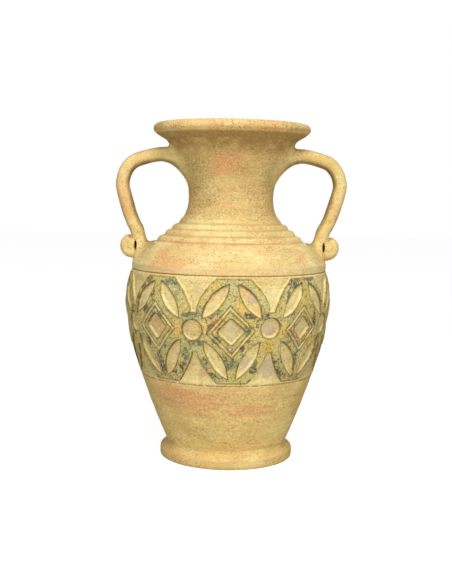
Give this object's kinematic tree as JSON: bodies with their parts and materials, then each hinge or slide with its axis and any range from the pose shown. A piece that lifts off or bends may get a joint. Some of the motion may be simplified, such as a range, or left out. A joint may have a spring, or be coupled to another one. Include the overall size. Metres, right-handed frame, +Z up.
{
  "type": "two-handled vase",
  "caption": "Terracotta amphora vase with a trumpet neck, rolled lip, curled strap handles and a carved geometric frieze round its belly.",
  "frame": {"origin": "middle of the face the vase stands on, on its axis", "axes": "+Z up along the vase's axis; the pictured front faces -Y; the handles lie along +X and -X"},
  "size_m": [0.2408, 0.2142, 0.348],
  "materials": {
    "foot_clay": "unglazed, sandy, orange buff",
    "wall_clay": "unglazed, sandy, buff with orange streaks",
    "frieze_clay": "unglazed, carved, ribbons washed green, blue-black and ochre",
    "shoulder_clay": "unglazed, sandy, pale buff with pink patches",
    "neck_clay": "unglazed, sandy, olive buff",
    "lip_clay": "unglazed, sandy, buff",
    "handle_clay": "unglazed, smoothed by hand, buff"
  },
  "bodies": {
    "root": {"foot": "foot_clay", "lower_wall": "wall_clay", "frieze_band": "frieze_clay", "shoulder": "shoulder_clay", "neck": "neck_clay", "lip": "lip_clay", "handle_left": "handle_clay", "handle_right": "handle_clay"}
  },
  "joints": []
}
